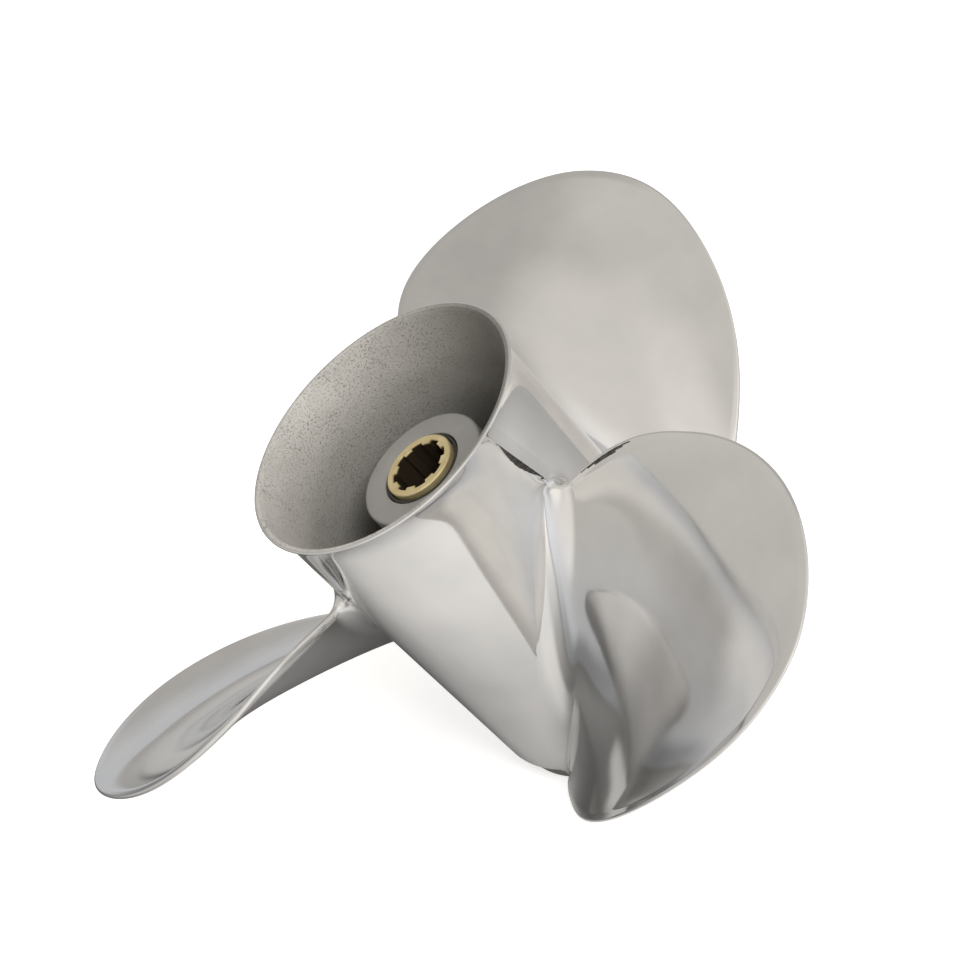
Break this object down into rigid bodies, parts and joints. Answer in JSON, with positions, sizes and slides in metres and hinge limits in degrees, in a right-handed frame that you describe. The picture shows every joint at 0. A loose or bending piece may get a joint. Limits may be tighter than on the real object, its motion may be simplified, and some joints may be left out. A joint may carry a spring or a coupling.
{
  "type": "outboard boat propeller",
  "caption": "Three-blade through-hub-exhaust boat propeller: flared outer barrel, webbed inner hub, rubber bush and splined brass sleeve.",
  "frame": {"origin": "on the shaft axis, in the plane of the front collar's forward face, which the propeller stands on", "axes": "+Z along the shaft axis towards aft, out of the exhaust rim; the first blade's generator line is at 20.8 degrees from +X towards +Y"},
  "size_m": [0.2096, 0.2041, 0.104],
  "materials": {
    "polished_steel": "mirror-polished stainless steel",
    "cast_steel": "matte, lightly pitted as-cast stainless steel",
    "bush_rubber": "matte black",
    "sleeve_brass": "satin, as broached"
  },
  "bodies": {
    "root": {"outer_barrel": "polished_steel", "flare_ring": "polished_steel", "front_collar": "cast_steel", "inner_hub": "cast_steel", "web_1": "cast_steel", "web_2": "cast_steel", "web_3": "cast_steel", "blade_1": "polished_steel", "blade_2": "polished_steel", "blade_3": "polished_steel", "ridge_1": "polished_steel", "ridge_2": "polished_steel", "ridge_3": "polished_steel", "rubber_bush": "bush_rubber", "spline_sleeve": "sleeve_brass"}
  },
  "joints": []
}
